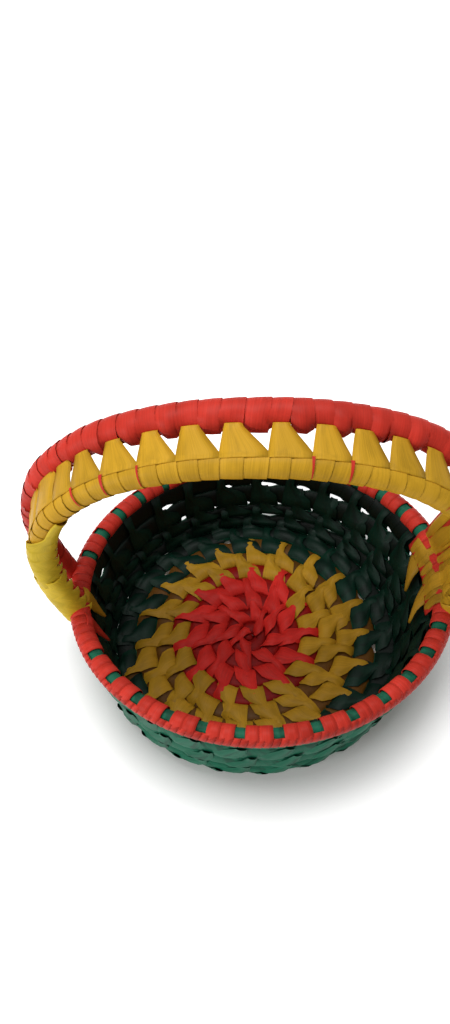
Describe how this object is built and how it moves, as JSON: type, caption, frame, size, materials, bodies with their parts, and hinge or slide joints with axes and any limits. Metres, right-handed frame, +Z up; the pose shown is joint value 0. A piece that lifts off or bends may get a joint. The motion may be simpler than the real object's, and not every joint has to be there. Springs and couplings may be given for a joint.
{
  "type": "palm leaf basket",
  "caption": "Round coiled palm leaf basket in red, yellow and green leaf, with a red-bound rim and an arched handle of wrapped coils joined by leaf tabs.",
  "frame": {"origin": "under the middle of the whole basket, on the plane it stands on", "axes": "+X along the handle's arch to its right foot, +Y to the back, +Z up"},
  "size_m": [0.235, 0.1834, 0.1748],
  "materials": {
    "leaf_red": "satin dyed leaf",
    "leaf_yellow": "satin dyed leaf",
    "leaf_green": "satin dyed leaf",
    "leaf_ribs": "bare leaf ribs"
  },
  "bodies": {
    "root": {"floor_coil_red": "leaf_red", "rim_binding_red": "leaf_red", "handle_coil_red": "leaf_red", "left_strip_red": "leaf_red", "floor_coil_yellow": "leaf_yellow", "handle_coil_yellow": "leaf_yellow", "left_strip_yellow": "leaf_yellow", "right_strip_yellow_1": "leaf_yellow", "right_strip_yellow_2": "leaf_yellow", "floor_coil_green": "leaf_green", "wall_coil_1": "leaf_green", "wall_coil_2": "leaf_green", "wall_coil_3": "leaf_green", "wall_coil_4": "leaf_green", "rim_coil_green": "leaf_green", "core_spiral": "leaf_ribs", "rim_core": "leaf_ribs", "handle_core_back": "leaf_ribs", "handle_core_front": "leaf_ribs"}
  },
  "joints": []
}
